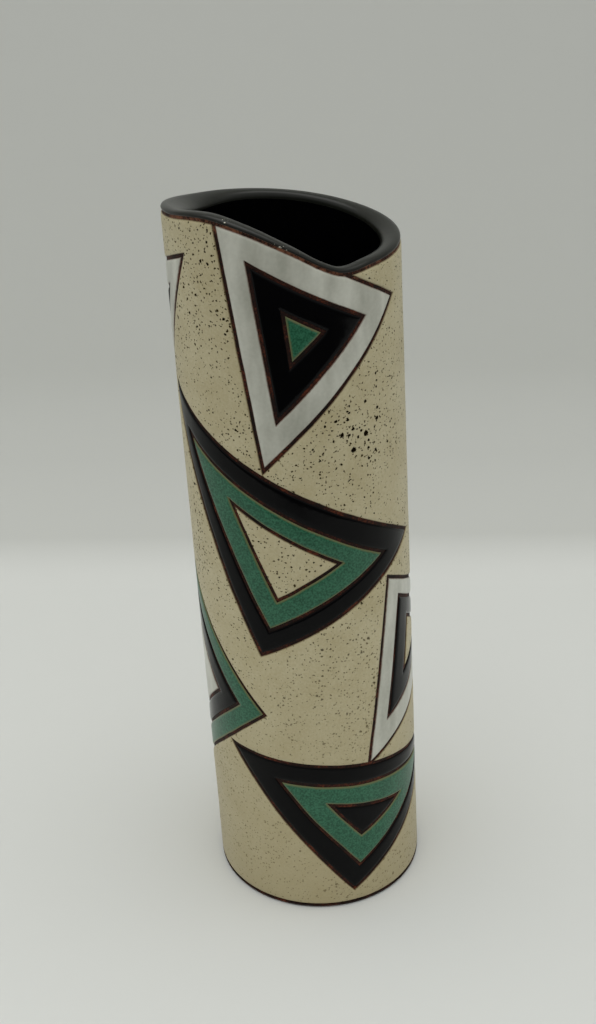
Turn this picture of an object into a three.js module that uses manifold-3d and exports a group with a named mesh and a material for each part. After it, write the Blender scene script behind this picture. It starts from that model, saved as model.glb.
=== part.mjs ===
// Slab-built stoneware vase with a leaning round body, a wavy lip and nine nested triangle motifs.
// The clay body is a base disc and a rolled wall. Every glaze is a thin plate of its own on the clay,
// parted from its neighbours by a line of bare clay. Millimetres, +Z up, the foot's centre at the
// origin, the front of the vase towards -Y. A bearing is an angle round the body in degrees, 0 at the
// front and positive towards +X.
import * as THREE from "three";
import { mergeVertices } from "three/addons/utils/BufferGeometryUtils.js";
import Module from "manifold-3d";

const wasm = await Module();
wasm.setup();

// ---- Body ----
const bodyHeight = 260; // foot to the mean level of the line below the lip
const footRadius = 39.8; // over the glaze, at the foot
const mouthRadius = 39.2; // over the glaze, at bodyHeight
const lean = 10.5; // how far the mouth's centre stands towards -X of the foot's centre
const wallThickness = 3.8; // clay alone, without the glaze on both faces
const baseThickness = 8;
const footRound = 1.2; // radius of the body's edge at the table, less than footLine

// ---- Lip ----
const lipThickness = 2.9; // clay across the lip where it is thinnest
const crestInset = 1.2; // lip's crest, in from the clay's outer face
const lipRise = 0.8; // crest above the line below the lip
const lipFall = 1.6; // crest down to where the inside of the lip turns vertical
const lipSquare = 2.8; // exponent of the lip's squared ellipse: 2 is round, more is flatter on top
const lipBlend = 30; // depth below the lip's line over which the wall grows to wallThickness
const lipSwells = [[-96, 4.2], [92, 1.8]]; // bearings where the lip is thicker, and by how much
const swellDip = 0.5; // how far the lip's inner edge sinks, over the swell there
const liftDepth = 60; // the lip's wave fades out this far below the lip's line

// Height of the line below the lip, over bodyHeight, at bearings round the mouth.
const lipWave = [
  [-180, -1.1],
  [-150, 0.6],
  [-126, 2.1],
  [-95, 5.3],
  [-65, 7.9],
  [-36, 10.4],
  [-15, 7.7],
  [5, 1.8],
  [20, -4],
  [31, -6.8],
  [48, -6.1],
  [80, -5.5],
  [130, -4],
];

// ---- Glaze ----
const glazeThickness = 0.8;
const fitGap = 0.3; // clearance between two pieces that touch
const bareLine = 1.2; // width of the bare clay line between two glazes
const footLine = 1.8; // bare clay below the ground glaze
const tipWidth = 0.12; // every pointed plate ends in an edge this high
const cutterReach = 3; // how far a cutter stands past the glaze, inwards and outwards

// ---- Facets ----
const roundSteps = 40; // facets round the body
const arcSteps = 3; // facets on each quarter of the lip and on the foot's edge
const facet = 360 / roundSteps; // one facet, in degrees
const closestEdge = 0.2; // a plate skips the body's facet edge this close to its own, over a facet

// ---- Motifs: three triangles, one inside the next, drawn on a pattern sheet layoutHeight tall. ----
// A corner is [bearing, height on the sheet], on the middle of the bare line. glazes are the outer
// frame's, the middle frame's and the centre's. The lines near the foot bow upwards, most at bowBearing
// and bowHeight: the bow fades out bowReach degrees round from there, and bowDepth above and below.
const layoutHeight = 260;
const bowRise = 2.9;
const bowBearing = 20;
const bowReach = 66;
const bowHeight = 65;
const bowDepth = 24;
const motifs = [
  {
    name: "shoulder_front",
    glazes: ["white", "black", "green"],
    triangles: [
      [[-31.8, 276.7], [63.5, 241], [-14.5, 187.5]],
      [[-15.3, 258.2], [40.5, 238], [-6, 205.5]],
      [[-0.3, 242.8], [18.5, 235.8], [2.2, 225.1]],
    ],
  },
  {
    name: "shoulder_left",
    glazes: ["white", "black", "cream"],
    triangles: [
      [[-148, 235], [-53, 256.8], [-101, 190]],
      [[-128.7, 227], [-74.5, 243], [-102, 205]],
      [[-114, 224], [-94, 230.5], [-103.5, 215]],
    ],
  },
  {
    name: "shoulder_back",
    glazes: ["black", "white", "green"],
    triangles: [
      [[92, 248], [196, 214], [112, 158]],
      [[110, 231.5], [172, 211], [121.5, 178]],
      [[125, 217.5], [151, 209], [130, 195]],
    ],
  },
  {
    name: "waist_front",
    glazes: ["black", "green", "cream"],
    triangles: [
      [[-81, 210], [74, 151], [-23, 114.5]],
      [[-61.5, 193], [48, 150], [-17.5, 125.5]],
      [[-33.5, 173.5], [21, 151.5], [-12, 138]],
    ],
  },
  {
    name: "waist_right",
    glazes: ["white", "black", "cream"],
    triangles: [
      [[51, 139], [148, 105], [32.3, 61]],
      [[61, 128], [122, 104.5], [47.5, 79.2]],
      [[72, 115.5], [100, 104.5], [65, 95]],
    ],
  },
  {
    name: "waist_left",
    glazes: ["green", "black", "white"],
    triangles: [
      [[-100, 151], [-24, 88], [-104, 39]],
      [[-92, 132.5], [-41, 89], [-95, 56]],
      [[-85, 112], [-57, 89.5], [-87, 71]],
    ],
  },
  {
    name: "waist_back",
    glazes: ["white", "green", "black"],
    triangles: [
      [[165, 186], [246, 152], [203, 92]],
      [[184, 168.5], [231, 149], [206, 114.5]],
      [[200, 154.5], [218.5, 146.5], [208.5, 132.5]],
    ],
  },
  {
    name: "foot_front",
    glazes: ["black", "green", "black"],
    triangles: [
      [[-47.3, 70.2], [115, 52.2], [20.1, 7.5]],
      [[-18.6, 58.4], [90, 49.3], [24, 18.4]],
      [[9, 48.3], [53.7, 42.3], [26, 32.7]],
    ],
  },
  {
    name: "foot_back",
    glazes: ["green", "black", "white"],
    triangles: [
      [[124, 84], [238, 72], [186, 10]],
      [[149, 72.5], [217, 65], [186, 28]],
      [[171, 62], [198.5, 59], [186, 44]],
    ],
  },
];
const tiers = ["outer", "middle", "centre"];

// ---- Finishes: colour, roughness, metalness ----
const finishes = {
  clay: [0x6b3a24, 0.8, 0],
  black: [0x17171a, 0.18, 0],
  white: [0xd6d6cc, 0.3, 0],
  green: [0x3f7d62, 0.3, 0],
  cream: [0xc9bf98, 0.6, 0],
};
const materials = Object.fromEntries(
  Object.entries(finishes).map(([name, [color, roughness, metalness]]) => [
    name,
    new THREE.MeshStandardMaterial({ name, color, roughness, metalness }),
  ]),
);

// ---- The body's surface ----
const meanRadius = (footRadius + mouthRadius) / 2;
const skinDepth = glazeThickness + fitGap; // clay face to glaze face
const crestHeight = bodyHeight + lipRise;
const lipFloor = crestHeight - lipFall;
const millimetresPerDegree = THREE.MathUtils.degToRad(meanRadius);

// How far the rounded edge of the foot draws in at a height.
const drawnIn = (z) => footRound - Math.sqrt(footRound ** 2 - Math.max(0, footRound - z) ** 2);
const glazeRadius = (z) => THREE.MathUtils.lerp(footRadius, mouthRadius, z / bodyHeight) - drawnIn(z);
const clayRadius = (z) => glazeRadius(z) - skinDepth;
const ease = (t) => THREE.MathUtils.smoothstep(t, 0, 1);

// A height drawn on the body, raised by the bow of the lines near the foot.
function bowed(bearing, z) {
  const round = (bearing - bowBearing) / bowReach;
  const up = ((z * layoutHeight) / bodyHeight - bowHeight) / bowDepth;
  return z + bowRise * Math.max(0, 1 - round ** 2) * Math.max(0, 1 - up ** 2) ** 2;
}

// A point at a bearing, a radius and a height, on the leaning body.
function place(bearing, radius, z) {
  const turn = THREE.MathUtils.degToRad(bearing);
  return new THREE.Vector3(
    radius * Math.sin(turn) - (lean * z) / bodyHeight,
    -radius * Math.cos(turn),
    z,
  );
}

// A smooth closed curve through the lip's waypoints: height of the lip's line at a bearing.
function lipLine(bearing) {
  const count = lipWave.length;
  const way = (i) => {
    const lap = Math.floor(i / count);
    const [at, rise] = lipWave[i - lap * count];
    return [at + lap * 360, rise];
  };
  const b = THREE.MathUtils.euclideanModulo(bearing + 180, 360) - 180;
  let i = count - 1;
  while (lipWave[i][0] > b) i -= 1;
  const [[b0, r0], [b1, r1], [b2, r2], [b3, r3]] = [i - 1, i, i + 1, i + 2].map(way);
  const t = (b - b1) / (b2 - b1);
  const slope1 = ((r2 - r0) / (b2 - b0)) * (b2 - b1);
  const slope2 = ((r3 - r1) / (b3 - b1)) * (b2 - b1);
  const rise =
    (2 * t ** 3 - 3 * t ** 2 + 1) * r1 +
    (t ** 3 - 2 * t ** 2 + t) * slope1 +
    (3 * t ** 2 - 2 * t ** 3) * r2 +
    (t ** 3 - t ** 2) * slope2;
  return bodyHeight + rise;
}

// How much thicker the lip is at a bearing.
const swellAt = (bearing) =>
  lipSwells.reduce((sum, [at, by]) => {
    const facing = Math.cos(THREE.MathUtils.degToRad(bearing - at));
    return sum + by * Math.max(0, facing) ** 3;
  }, 0);

// ---- Round pieces: a lathe whose points follow the lip's wave, the swell and the lean ----
// A profile is a list of [radius, height, share of the lip's swell that this point takes].
function roundPiece(profile) {
  const points = profile.map(([r, z]) => new THREE.Vector2(r, z));
  const shares = profile.map(([, , share = 0]) => share);
  const lathe = new THREE.LatheGeometry(points, roundSteps);
  const position = lathe.getAttribute("position");
  for (let i = 0; i < position.count; i += 1) {
    const turn = Math.floor(i / points.length) % roundSteps;
    const { x: r, y: z } = points[i % points.length];
    const bearing = (turn * 360) / roundSteps;
    const wave = lipLine(bearing) - bodyHeight;
    const lifted = z + wave * ease((z - bodyHeight + liftDepth) / liftDepth);
    const swell = swellAt(bearing) * shares[i % points.length];
    const p = place(bearing, r - swell, lifted - swell * swellDip);
    position.setXYZ(i, p.x, p.y, p.z);
  }
  return lathe;
}

// A quarter of a squared ellipse in a profile's plane, from its side at angle start up to its crest. side
// is 1 outside the crest and -1 inside it, where the points take the lip's swell.
function quarter(centreR, centreZ, halfR, halfZ, side, start = 0) {
  return Array.from({ length: arcSteps + 1 }, (_, i) => {
    const t = start + ((Math.PI / 2 - start) * i) / arcSteps;
    const across = Math.max(0, Math.cos(t)) ** (2 / lipSquare);
    const up = Math.sin(t) ** (2 / lipSquare);
    return [centreR + side * halfR * across, centreZ + halfZ * up, side < 0 ? across : 0];
  });
}

// The lip's outline, proud of the clay by offset, from startZ outside over the crest to lipFloor inside.
function lipOutline(offset, startZ) {
  const crest = clayRadius(bodyHeight) - crestInset;
  const rise = lipRise + offset;
  const start = Math.asin(((startZ - bodyHeight) / rise) ** (lipSquare / 2));
  const outside = quarter(crest, bodyHeight, crestInset + offset, rise, 1, start);
  const depth = lipThickness - crestInset + offset;
  const inside = quarter(crest, lipFloor, depth, lipFall + offset, -1);
  return [...outside, ...inside.reverse().slice(1)];
}

// A closed band between two open outlines.
const closed = (outer, inner) => [...outer, ...inner.reverse(), outer[0]];

// The base stands out to the glaze's face below the ground glaze, with a rounded edge at the table.
function clayBase() {
  const shelf = footLine - fitGap;
  const rounded = Array.from({ length: arcSteps + 1 }, (_, i) => footRound * (i / arcSteps) ** 2);
  const rim = [...rounded, shelf].map((z) => [glazeRadius(z), z]);
  const above = [shelf, baseThickness].map((z) => [clayRadius(z), z]);
  return roundPiece([[0, 0], ...rim, ...above, [0, baseThickness]]);
}

const boreRadius = (z) => clayRadius(z) - wallThickness;
const lipBore = clayRadius(bodyHeight) - lipThickness;
const wallSeat = baseThickness + fitGap;

function clayWall() {
  const outside = [
    [clayRadius(wallSeat), wallSeat],
    [clayRadius(bodyHeight - liftDepth), bodyHeight - liftDepth],
    ...lipOutline(0, bodyHeight),
  ];
  const inside = [wallSeat, bodyHeight - liftDepth, bodyHeight - lipBlend].map((z) => [boreRadius(z), z]);
  inside.push([(boreRadius(lipFloor) + lipBore) / 2, lipFloor - lipBlend / 4, 0.5]);
  return roundPiece(closed(outside, inside));
}

// The glaze poured inside: a cup, open at the top, that ends where the lip's glaze begins.
function innerGlaze() {
  const surface = (depth) => [
    [0, baseThickness + depth],
    ...[baseThickness + depth, bodyHeight - liftDepth, bodyHeight - lipBlend].map((z) => [
      boreRadius(z) - depth,
      z,
    ]),
    [(boreRadius(lipFloor) + lipBore) / 2 - depth, lipFloor - lipBlend / 4, 0.5],
    [lipBore - depth, lipFloor - fitGap, 1],
  ];
  return roundPiece([...surface(fitGap), ...surface(skinDepth).reverse()]);
}

// The glaze over the lip, from the bare line outside to the top of the inner glaze.
function rimGlaze() {
  const start = bodyHeight + bareLine / 2;
  return roundPiece(closed(lipOutline(skinDepth, start), lipOutline(fitGap, start)));
}

// ---- Glaze plates: a plate bent round the clay between a lower and an upper outline ----
// The part of a triangle in on bearing b, as [low, high].
function spanAt(triangle, b) {
  const heights = [];
  triangle.forEach(([b0, z0], i) => {
    const [b1, z1] = triangle[(i + 1) % 3];
    if (b < Math.min(b0, b1) || b > Math.max(b0, b1)) return;
    heights.push(b0 === b1 ? z0 : z0 + ((z1 - z0) * (b - b0)) / (b1 - b0));
  });
  return [Math.min(...heights), Math.max(...heights)];
}

// A triangle with its sides moved in by distance (out where it is negative): it shrinks about its incentre.
function inset(triangle, distance) {
  const [a, b, c] = triangle.map(([bearing, z]) => new THREE.Vector2(bearing * millimetresPerDegree, z));
  const sides = [b.distanceTo(c), c.distanceTo(a), a.distanceTo(b)];
  const perimeter = sides[0] + sides[1] + sides[2];
  const centre = new THREE.Vector2()
    .addScaledVector(a, sides[0] / perimeter)
    .addScaledVector(b, sides[1] / perimeter)
    .addScaledVector(c, sides[2] / perimeter);
  const doubleArea = Math.abs(b.clone().sub(a).cross(c.clone().sub(a)));
  const scale = 1 - (distance * perimeter) / doubleArea;
  return [a, b, c].map((p) => {
    const moved = p.sub(centre).multiplyScalar(scale).add(centre);
    return [moved.x / millimetresPerDegree, moved.y];
  });
}

// The bearings at which a plate has an edge: both its ends, its middle corner and the body's own facets.
function platePlan(triangle, top) {
  const open = (b) => Math.min(spanAt(triangle, b)[1], top(b)) - spanAt(triangle, b)[0] > tipWidth;
  const [left, middle, right] = triangle.map(([b]) => b).sort((p, q) => p - q);
  // The bearing next to a tip at which the plate becomes tipWidth high.
  const tip = (shut, wide) => {
    let [s, w] = [shut, wide];
    while (Math.abs(w - s) > 1e-6) {
      if (open((s + w) / 2)) w = (s + w) / 2;
      else s = (s + w) / 2;
    }
    return w;
  };
  const own = [tip(left, middle), middle, tip(right, middle)];
  const facets = Array.from({ length: 3 * roundSteps }, (_, i) => (i - roundSteps) * facet);
  const between = facets.filter(
    (b) => b > own[0] && b < own[2] && own.every((stop) => Math.abs(b - stop) > facet * closestEdge),
  );
  return [...own, ...between].sort((p, q) => p - q);
}

// A triangle as a bent plate from depthIn below the glaze face to depthOut below it, under the top outline.
function plate(triangle, depthIn, depthOut, top = () => Infinity) {
  const bearings = platePlan(triangle, top);
  const columns = bearings.length - 1;
  const box = new THREE.BoxGeometry(1, 1, 1, columns, 1, 1);
  const position = box.getAttribute("position");
  for (let i = 0; i < position.count; i += 1) {
    const bearing = bearings[Math.round((position.getX(i) + 0.5) * columns)];
    const [low, high] = spanAt(triangle, bearing);
    const z = bowed(bearing, position.getY(i) < 0 ? low : Math.min(high, top(bearing)));
    const depth = position.getZ(i) < 0 ? depthIn : depthOut;
    const p = place(bearing, glazeRadius(z) - depth, z);
    position.setXYZ(i, p.x, p.y, p.z);
  }
  return box;
}

// ---- Booleans ----
// A closed geometry as a solid, its shared vertices merged.
function solid(geometry) {
  const bare = geometry.index ? geometry.toNonIndexed() : geometry.clone();
  const merged = mergeVertices(
    new THREE.BufferGeometry().setAttribute("position", bare.getAttribute("position")),
    1e-3,
  );
  return new wasm.Manifold(
    new wasm.Mesh({
      numProp: 3,
      vertProperties: merged.getAttribute("position").array,
      triVerts: new Uint32Array(merged.index.array),
    }),
  );
}

function geometryOf(made) {
  const mesh = made.getMesh();
  const geometry = new THREE.BufferGeometry()
    .setAttribute("position", new THREE.BufferAttribute(mesh.vertProperties, 3))
    .setIndex(new THREE.BufferAttribute(mesh.triVerts, 1));
  geometry.computeVertexNormals();
  return geometry;
}

// The cutter that clears a triangle and its bare line out of the glaze around it.
const clearing = (triangle) =>
  solid(plate(inset(triangle, -bareLine / 2), skinDepth + cutterReach, -cutterReach));

// The ground: one sleeve of glaze from the foot to the lip's line, with every motif cut out of it.
function groundGlaze() {
  const top = bodyHeight - bareLine / 2;
  const face = (depth) =>
    [footLine, bodyHeight - liftDepth, bodyHeight - liftDepth / 2, top].map((z) => [
      glazeRadius(z) - depth,
      z,
    ]);
  const sleeve = roundPiece(closed(face(0), face(glazeThickness)));
  return geometryOf(
    motifs.reduce((left, { triangles }) => left.subtract(clearing(onBody(triangles[0]))), solid(sleeve)),
  );
}

// A triangle off the pattern sheet, stretched to this body's height.
const onBody = (triangle) => triangle.map(([bearing, z]) => [bearing, (z * bodyHeight) / layoutHeight]);

// One glaze of a motif: its triangle less the next one in, and less the bare lines round both.
function motifGlaze({ triangles }, tier) {
  const top = (bearing) => lipLine(bearing) - bareLine / 2;
  const whole = solid(plate(inset(onBody(triangles[tier]), bareLine / 2), glazeThickness, 0, top));
  const next = triangles[tier + 1];
  return geometryOf(next ? whole.subtract(clearing(onBody(next))) : whole);
}

// ---- The vase ----
const vase = new THREE.Group();
function add(name, geometry, finish) {
  const mesh = new THREE.Mesh(geometry, materials[finish]);
  mesh.name = name;
  vase.add(mesh);
}

add("clay_base", clayBase(), "clay");
add("clay_wall", clayWall(), "clay");
add("inner_glaze", innerGlaze(), "black");
add("rim_glaze", rimGlaze(), "black");
add("ground_glaze", groundGlaze(), "cream");
for (const motif of motifs)
  tiers.forEach((tier, i) => add(`${motif.name}_${tier}_glaze`, motifGlaze(motif, i), motif.glazes[i]));

export default vase;
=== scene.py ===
"""Slab-built stoneware vase with a leaning round body, a wavy black lip and nested triangles of glaze.

The clay is a base and a wall. Each field of glaze is worked flat, with its edges rounded down to the
bare line round it, and is then bent round the body. Sizes are in millimetres until a point is placed
on the body, which gives metres in the row's frame. A bearing is an angle round the body in degrees, 0
at the front and positive towards +X.
"""

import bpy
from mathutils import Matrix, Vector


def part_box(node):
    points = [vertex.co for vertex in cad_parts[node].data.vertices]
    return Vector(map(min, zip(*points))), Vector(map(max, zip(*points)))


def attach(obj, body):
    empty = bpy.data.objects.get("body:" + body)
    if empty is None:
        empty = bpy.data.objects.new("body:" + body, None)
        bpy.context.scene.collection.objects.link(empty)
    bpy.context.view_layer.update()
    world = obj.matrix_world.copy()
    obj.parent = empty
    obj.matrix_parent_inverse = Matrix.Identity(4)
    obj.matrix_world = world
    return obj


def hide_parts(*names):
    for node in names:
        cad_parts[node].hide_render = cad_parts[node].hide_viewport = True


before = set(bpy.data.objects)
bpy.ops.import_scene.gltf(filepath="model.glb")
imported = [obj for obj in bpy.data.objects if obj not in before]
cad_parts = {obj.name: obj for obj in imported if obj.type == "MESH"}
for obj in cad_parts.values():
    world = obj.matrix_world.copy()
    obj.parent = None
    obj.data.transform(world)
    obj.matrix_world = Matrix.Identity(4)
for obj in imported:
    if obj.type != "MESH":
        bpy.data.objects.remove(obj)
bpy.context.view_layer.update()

import logging
import math
from bisect import bisect_right
from collections.abc import Sequence
from dataclasses import dataclass, field, replace
from enum import Enum

import bmesh
import bpy
import numpy as np
from mathutils import Matrix, Vector, noise

log = logging.getLogger("vase")
MM = 0.001
EDGE = "edge_mm"  # the vertex layer that holds the distance from a glaze's edge
FAR = 9.0  # a distance in millimetres at which no edge shows
Point = tuple[float, float]
Triple = tuple[float, float, float]
Span = tuple[float, float, float, float]
Triangle = tuple[Point, Point, Point]
Socket = bpy.types.NodeSocket


class Slot(Enum):
    """The record's material slots."""

    CLAY = "clay"
    BLACK = "black_glaze"
    WHITE = "white_glaze"
    GREEN = "green_glaze"
    CREAM = "cream_glaze"


def linear(hex_code: str) -> tuple[float, float, float, float]:
    """Turns an sRGB colour, "#rrggbb", to linear RGBA."""
    channels = [int(hex_code[i : i + 2], 16) / 255 for i in (1, 3, 5)]
    red, green, blue = (c / 12.92 if c <= 0.04045 else ((c + 0.055) / 1.055) ** 2.4 for c in channels)
    return red, green, blue, 1.0


def around(points: Sequence) -> list[tuple]:
    """Each point with the next one, and the last with the first."""
    return list(zip(points, [*points[1:], points[0]]))


def ease(t: float) -> float:
    """Smooth step from 0 to 1 as t goes from 0 to 1."""
    t = min(1.0, max(0.0, t))
    return t * t * (3 - 2 * t)


# ----------------------------------------
# The body's form
# ----------------------------------------
@dataclass(frozen=True)
class BodyForm:
    """The leaning round body on which every piece is placed."""

    height: float = 260.0
    foot_radius: float = 39.8
    mouth_radius: float = 39.2
    lean: float = 10.5
    base_thickness: float = 8.0
    wall_thickness: float = 3.8
    glaze_depth: float = 0.5
    skin_depth: float = 1.1
    bare_line: float = 1.2
    foot_line: float = 1.8
    foot_round: float = 1.2
    base_gap: float = 0.3
    lift_depth: float = 60.0
    lip_rise: float = 0.8
    lip_fall: float = 1.6
    lip_thickness: float = 2.9
    lip_square: float = 2.8
    lip_blend: float = 30.0
    crest_inset: float = 1.2
    swell_dip: float = 0.5
    swells: tuple[Point, ...] = ((-96, 4.2), (92, 1.8))
    bow_rise: float = 2.9
    bow_bearing: float = 20.0
    bow_reach: float = 66.0
    bow_height: float = 65.0
    bow_depth: float = 24.0
    lip_wave: tuple[Point, ...] = (
        (-180, -1.1),
        (-150, 0.6),
        (-126, 2.1),
        (-95, 5.3),
        (-65, 7.9),
        (-36, 10.4),
        (-15, 7.7),
        (5, 1.8),
        (20, -4),
        (31, -6.8),
        (48, -6.1),
        (80, -5.5),
        (130, -4.0),
    )
    drift: float = 0.3
    drift_length: float = 26.0
    tremor: float = 0.1
    tremor_length: float = 6.0
    tremor_shift: Triple = (7, 3, 5)
    dimple: float = 0.4
    still_foot: float = 2.0
    calm_foot: float = 10.0
    calm_lip: float = 12.0

    @classmethod
    def from_frame(cls) -> "BodyForm":
        """Takes the radius at the foot and the base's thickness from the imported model."""
        foot_radius = round(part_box("ground_glaze")[1].y / MM, 1)
        return cls(foot_radius=foot_radius, base_thickness=round(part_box("clay_base")[1].z / MM, 2))

    @property
    def per_degree(self) -> float:
        """Millimetres round the body for one degree of bearing."""
        return math.radians((self.foot_radius + self.mouth_radius) / 2)

    @property
    def lip_floor(self) -> float:
        """Height at which the lip's inner curve ends, before the wave."""
        return self.height + self.lip_rise - self.lip_fall

    def bore(self, z: float) -> tuple[float, float]:
        """Inner radius of the clay at a height before the wave, and its share of the lip's swell."""
        share = ease(1 - (self.lip_floor - z) / self.lip_blend)
        lip_bore = self.mouth_radius - self.skin_depth - self.lip_thickness
        wall_bore = self.glaze_radius(z) - self.skin_depth - self.wall_thickness
        return wall_bore + (lip_bore - wall_bore) * share, share

    def glaze_radius(self, z: float) -> float:
        """Radius over the glaze at a height."""
        return self.foot_radius + (self.mouth_radius - self.foot_radius) * z / self.height

    def foot_inset(self, z: float) -> float:
        """How far the rounded edge of the foot draws in at a height."""
        if z >= self.foot_round:
            return 0.0
        share = 1 - max(0.0, z) / self.foot_round
        return self.foot_round * (1 - math.sqrt(max(0.0, 1 - share * share)))

    def lip_line(self, bearing: float) -> float:
        """Height of the bare line below the lip, on a smooth closed curve through lip_wave."""
        b = (bearing + 180) % 360 - 180
        lap = [(at - 360, rise) for at, rise in self.lip_wave[-1:]]
        lap += [(at + 360 * k, rise) for k in (0, 1) for at, rise in self.lip_wave]
        i = bisect_right(lap, (b, math.inf)) - 1
        (b0, r0), (b1, r1), (b2, r2), (b3, r3) = lap[i - 1 : i + 3]
        t = (b - b1) / (b2 - b1)
        slope1 = (r2 - r0) / (b2 - b0) * (b2 - b1)
        slope2 = (r3 - r1) / (b3 - b1) * (b2 - b1)
        rise = (
            (2 * t**3 - 3 * t**2 + 1) * r1
            + (t**3 - 2 * t**2 + t) * slope1
            + (3 * t**2 - 2 * t**3) * r2
            + (t**3 - t**2) * slope2
        )
        return self.height + rise

    def lifted(self, bearing: float, z: float) -> float:
        """Raises a height with the lip's wave, in full at the lip and not at all lift_depth below it."""
        wave = self.lip_line(bearing) - self.height
        return z + wave * ease((z - self.height + self.lift_depth) / self.lift_depth)

    def bowed(self, bearing: float, z: float) -> float:
        """Raises a height by the bow of the lines near the foot."""
        fade = max(0.0, 1 - ((bearing - self.bow_bearing) / self.bow_reach) ** 2)
        return z + self.bow_rise * fade * max(0.0, 1 - ((z - self.bow_height) / self.bow_depth) ** 2) ** 2

    def swell(self, bearing: float) -> float:
        """Extra thickness of the lip at a bearing."""
        return sum(by * max(0.0, math.cos(math.radians(bearing - at))) ** 3 for at, by in self.swells)

    def place(self, bearing: float, radius: float, z: float) -> Vector:
        """Places a point on the leaning body, moved a little as a hand's line wanders.

        Args:
            bearing: Angle round the body in degrees.
            radius: Distance from the body's axis.
            z: Height above the table.

        Returns:
            The point in metres, in the row's frame.
        """
        turn = math.radians(bearing)
        at = Vector((radius * math.sin(turn), -radius * math.cos(turn), z))
        crest = self.lip_line(bearing) + self.lip_rise
        calm = ease((z - self.still_foot) / self.calm_foot) * ease((crest - z) / self.calm_lip)
        shift = noise.noise_vector(at / self.drift_length) * self.drift
        shift += noise.noise_vector(at / self.tremor_length + Vector(self.tremor_shift)) * self.tremor
        turn += shift.x * calm / self.mouth_radius
        z += shift.z * calm
        radius -= abs(shift.y) * self.dimple * calm
        x = radius * math.sin(turn) - self.lean * z / self.height
        return Vector((x, -radius * math.cos(turn), z)) * MM


# ----------------------------------------
# Node graphs and finishes
# ----------------------------------------
@dataclass
class Graph:
    """The node tree of a material or of the world, built one node at a time."""

    owner: bpy.types.Material | bpy.types.World

    def __post_init__(self) -> None:
        """Turns nodes on and clears the default ones."""
        self.owner.use_nodes = True
        self.owner.node_tree.nodes.clear()

    def add(
        self, kind: str, feeds: dict[str | int, object] | None = None, **settings: object
    ) -> bpy.types.Node:
        """Adds a node with its settings, its values and its links.

        Args:
            kind: The node's type name, without "ShaderNode".
            feeds: Input name or number to a value, or to the output socket that feeds it.
            settings: The node's own properties.

        Returns:
            The new node.
        """
        node = self.owner.node_tree.nodes.new(f"ShaderNode{kind}")
        for key, value in settings.items():
            setattr(node, key, value)
        for key, value in (feeds or {}).items():
            if isinstance(value, Socket):
                self.owner.node_tree.links.new(value, node.inputs[key])
            else:
                node.inputs[key].default_value = value
        return node

    def at(self) -> Socket:
        """Object coordinates, in metres."""
        return self.add("TexCoord").outputs["Object"]

    def height(self, at: Socket) -> Socket:
        """Height of a place above the table, in metres."""
        return self.add("SeparateXYZ", {0: at}).outputs["Z"]

    def edge(self) -> Socket:
        """Distance from the glaze's edge, in millimetres."""
        return self.add("Attribute", attribute_name=EDGE).outputs["Fac"]

    def noise(self, at: Socket, size: float, detail: float = 2.0) -> bpy.types.Node:
        """Adds a noise whose features are size millimetres wide in Object coordinates."""
        return self.add("TexNoise", {"Vector": at, "Scale": 1 / (size * MM), "Detail": detail})

    def spread(
        self, value: Socket, low: float, high: float, start: float = 0.0, end: float = 1.0
    ) -> Socket:
        """Maps low to start and high to end, and holds the ends."""
        feeds = {"Value": value, "From Min": low, "From Max": high, "To Min": start, "To Max": end}
        return self.add("MapRange", feeds).outputs[0]

    def math(self, operation: str, first: object, second: object) -> Socket:
        """Joins two numbers with an operation."""
        return self.add("Math", {0: first, 1: second}, operation=operation).outputs[0]

    def blend(self, share: object, first: object, second: object) -> Socket:
        """Mixes two colours by a share."""
        return self.add("Mix", {0: share, 6: first, 7: second}, data_type="RGBA").outputs[2]

    def ramp(self, value: Socket, stops: Sequence[tuple[float, str]]) -> Socket:
        """Colours a value by stops, each a position and a hex colour."""
        node = self.add("ValToRGB", {"Fac": value})
        elements = node.color_ramp.elements
        for element, (position, hue) in zip(elements, (stops[0], stops[-1])):
            element.position, element.color = position, linear(hue)
        for position, hue in stops[1:-1]:
            elements.new(position).color = linear(hue)
        return node.outputs["Color"]

    def surface(self, shader: bpy.types.Node) -> bpy.types.Material:
        """Ends a material's graph with its shader."""
        self.add("OutputMaterial", {"Surface": shader.outputs[0]})
        return self.owner


# Specks: how far a ragged outline is moved, the size of the noise that moves it, the softness of their
# edge, and the size of the noise that makes them larger in one place than in another.
SPECK_FRAY = 1.1 * MM
SPECK_RAGGED = 0.7
SPECK_SOFT = 0.06
SPECK_CROWD_SIZE = 26.0

# Spans for Graph.spread: from, to, and what these become. Heights are in metres.
SPECK_CROWD: Span = (0.35, 0.65, 0.8, 1.15)
SPECKS_BY_HEIGHT: Span = (0.06, 0.15, 0.4, 1.0)
# Painted shade low on the cream, where less light reaches near the table: its share by height.
FOOT_PAINTED_SHADE_BY_HEIGHT: Span = (0.0, 0.11, 0.7, 0.0)
GRAIN_SPAN: Point = (0.38, 0.62)


@dataclass(frozen=True)
class Speckle:
    """Specks that burn through a glaze: iron spots, pinholes and pits. On the lip, pale specks are painted
    glints.

    Cells are in millimetres, and reach is a speck's largest radius as a share of its cell. Where
    around is set, the specks keep within a distance of that point, both in millimetres.
    """

    cell: float
    reach: float
    share: float
    colour: str
    around: Triple | None = None
    within: float = 0.0


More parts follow.
